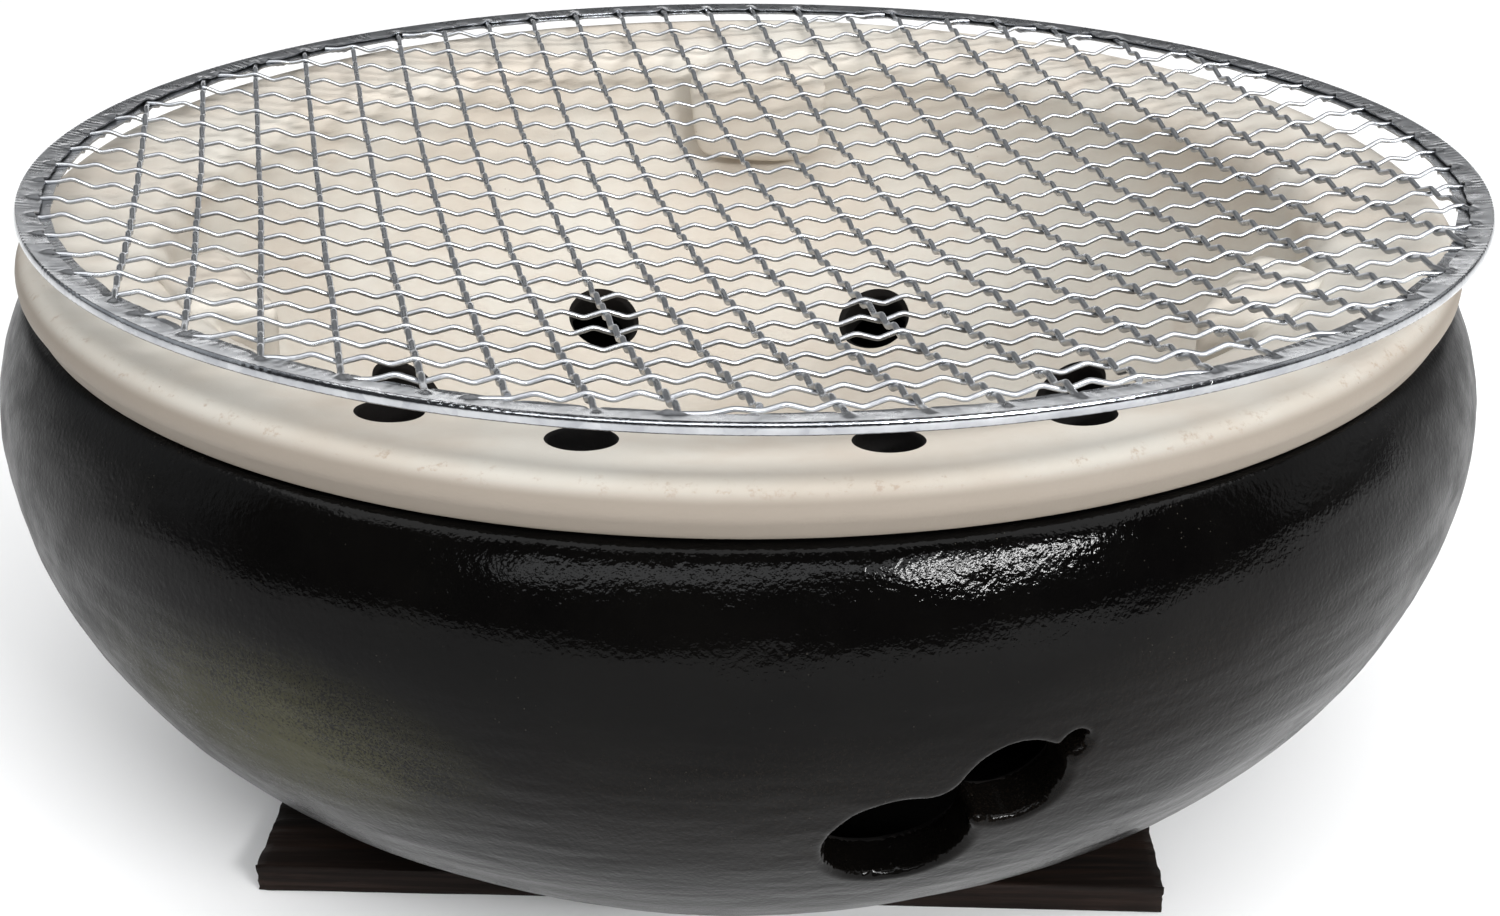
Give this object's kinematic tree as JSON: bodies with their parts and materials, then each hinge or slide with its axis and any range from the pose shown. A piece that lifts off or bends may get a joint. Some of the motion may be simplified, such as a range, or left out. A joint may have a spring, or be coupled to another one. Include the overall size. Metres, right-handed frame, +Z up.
{
  "type": "hibachi grill",
  "caption": "Round table-top charcoal grill: glazed bowl with a gourd-shaped air vent, clay fire liner, woven wire net and a thin base board.",
  "frame": {"origin": "centre of the footprint on the ground, under the bowl's axis", "axes": "+Z up along the bowl's axis; -Y is the front, the side with the gourd-shaped vent; +X to the right seen from the front"},
  "size_m": [0.3036, 0.3036, 0.1311],
  "materials": {
    "charred_wood": "charred, raised grain, matt",
    "black_glaze": "gloss black glaze over gritty clay",
    "cream_clay": "unglazed, matt, faintly speckled",
    "galvanised_sheet": "galvanised, hammered",
    "steel_core": "drawn wire",
    "galvanised_wire": "galvanised crimped wire"
  },
  "bodies": {
    "board": {"base_board": "charred_wood"},
    "bowl": {"outer_bowl": "black_glaze"},
    "liner": {"inner_liner": "cream_clay"},
    "net": {"net_rim_core": "steel_core", "net_rim_strip": "galvanised_sheet", "cross_wire_01": "galvanised_wire", "cross_wire_02": "galvanised_wire", "cross_wire_03": "galvanised_wire", "cross_wire_04": "galvanised_wire", "cross_wire_05": "galvanised_wire", "cross_wire_06": "galvanised_wire", "cross_wire_07": "galvanised_wire", "cross_wire_08": "galvanised_wire", "cross_wire_09": "galvanised_wire", "cross_wire_10": "galvanised_wire", "cross_wire_11": "galvanised_wire", "cross_wire_12": "galvanised_wire", "cross_wire_13": "galvanised_wire", "cross_wire_14": "galvanised_wire", "cross_wire_15": "galvanised_wire", "cross_wire_16": "galvanised_wire", "cross_wire_17": "galvanised_wire", "cross_wire_18": "galvanised_wire", "cross_wire_19": "galvanised_wire", "cross_wire_20": "galvanised_wire", "cross_wire_21": "galvanised_wire", "cross_wire_22": "galvanised_wire", "cross_wire_23": "galvanised_wire", "long_wire_01": "galvanised_wire", "long_wire_02": "galvanised_wire", "long_wire_03": "galvanised_wire", "long_wire_04": "galvanised_wire", "long_wire_05": "galvanised_wire", "long_wire_06": "galvanised_wire", "long_wire_07": "galvanised_wire", "long_wire_08": "galvanised_wire", "long_wire_09": "galvanised_wire", "long_wire_10": "galvanised_wire", "long_wire_11": "galvanised_wire", "long_wire_12": "galvanised_wire", "long_wire_13": "galvanised_wire", "long_wire_14": "galvanised_wire", "long_wire_15": "galvanised_wire", "long_wire_16": "galvanised_wire", "long_wire_17": "galvanised_wire", "long_wire_18": "galvanised_wire", "long_wire_19": "galvanised_wire", "long_wire_20": "galvanised_wire", "long_wire_21": "galvanised_wire", "long_wire_22": "galvanised_wire"}
  },
  "joints": [
    {"name": "bowl_lift", "type": "slide", "parent": "board", "child": "bowl", "axis": [0, 0, 1], "range_m": [0, 0.05]},
    {"name": "liner_lift", "type": "slide", "parent": "bowl", "child": "liner", "axis": [0, 0, 1], "range_m": [0, 0.1]},
    {"name": "net_lift", "type": "slide", "parent": "liner", "child": "net", "axis": [0, 0, 1], "range_m": [0, 0.08]}
  ]
}
